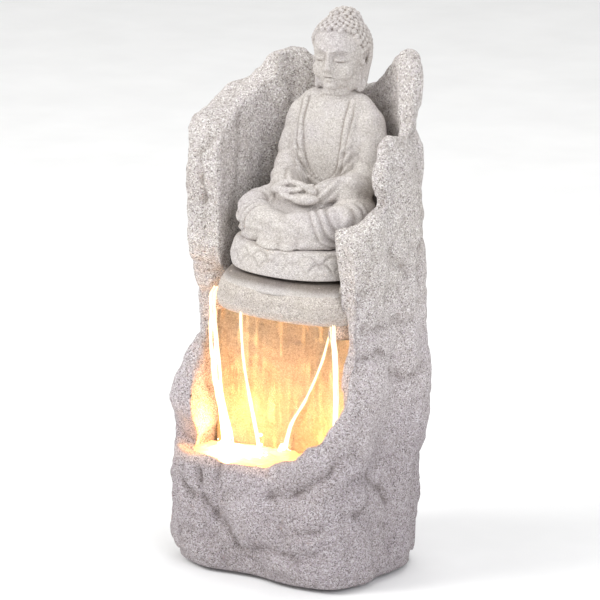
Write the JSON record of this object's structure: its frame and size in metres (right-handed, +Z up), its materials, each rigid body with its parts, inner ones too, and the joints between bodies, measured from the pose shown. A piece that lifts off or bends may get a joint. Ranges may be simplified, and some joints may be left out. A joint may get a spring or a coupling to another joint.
{
  "type": "tabletop water fountain",
  "caption": "Tabletop water fountain: a rock grotto with a basin, a spill bowl, a lift-off seated figure, a lit cascade, a submersible pump and a rear cover.",
  "frame": {"origin": "middle of the footprint, on the table", "axes": "+Z up, -Y towards the front of the fountain, +X to the figure's left"},
  "size_m": [0.1669, 0.1331, 0.414],
  "materials": {
    "cast_resin_stone": "matt cast polyresin with a fine grey, white and lilac grain that looks like granite",
    "black_plastic": "moulded ABS, fine texture",
    "grey_plastic": "moulded polypropylene",
    "black_rubber": "moulded soft rubber",
    "clear_vinyl": "clear flexible vinyl tube",
    "white_nylon": "natural nylon",
    "ferrite": "sintered ferrite magnet",
    "ceramic_shaft": "ground alumina",
    "core_steel": "stacked silicon steel sheet",
    "copper_winding": "enamelled copper wire",
    "epoxy": "cast black epoxy",
    "lamp_board": "white solder mask with warm white LED chips",
    "clear_lens": "clear polycarbonate",
    "black_cable": "soft black PVC sheath"
  },
  "bodies": {
    "fountain": {"rock_body": "cast_resin_stone", "rubber_feet": "black_rubber", "rear_cover_gasket": "black_rubber", "spill_bowl": "cast_resin_stone", "bowl_fitting": "grey_plastic", "bowl_fitting_nut": "black_plastic", "cascade_panel": "cast_resin_stone", "pump_housing": "black_plastic", "pump_front_cover": "black_plastic", "cover_o_ring": "black_rubber", "rotor_shaft": "ceramic_shaft", "shaft_bush_front": "ceramic_shaft", "shaft_bush_rear": "ceramic_shaft", "stator_core": "core_steel", "stator_coil": "copper_winding", "potting_cap": "epoxy", "pump_suction_cups": "black_rubber", "hose": "clear_vinyl", "hose_clip": "white_nylon", "led_housing_left": "black_plastic", "led_housing_right": "black_plastic", "led_board_left": "lamp_board", "led_board_right": "lamp_board", "led_lens_left": "clear_lens", "led_lens_right": "clear_lens", "power_inlet": "black_plastic", "power_inlet_nut": "black_plastic", "lead_splice": "epoxy", "pump_lead": "black_cable", "led_lead_left": "black_cable", "led_lead_right": "black_cable"},
    "figure": {"seated_figure": "cast_resin_stone", "pedestal": "cast_resin_stone"},
    "cover": {"rear_cover": "cast_resin_stone"},
    "rotor": {"impeller": "grey_plastic", "rotor_magnet": "ferrite"},
    "dial": {"flow_dial": "grey_plastic"}
  },
  "joints": [
    {"name": "figure_lift", "type": "slide", "parent": "fountain", "child": "figure", "axis": [0, 0, 1], "range_m": [0, 0.19]},
    {"name": "cover_pull", "type": "slide", "parent": "fountain", "child": "cover", "axis": [0, 1, 0], "range_m": [0, 0.05]},
    {"name": "impeller_spin", "type": "hinge", "parent": "fountain", "child": "rotor", "pos_m": [0, 0.036, 0.035], "axis": [1, 0, 0], "continuous": true},
    {"name": "dial_turn", "type": "hinge", "parent": "fountain", "child": "dial", "pos_m": [-0.0134, 0.036, 0.035], "axis": [1, 0, 0], "range_deg": [0, 60]}
  ]
}
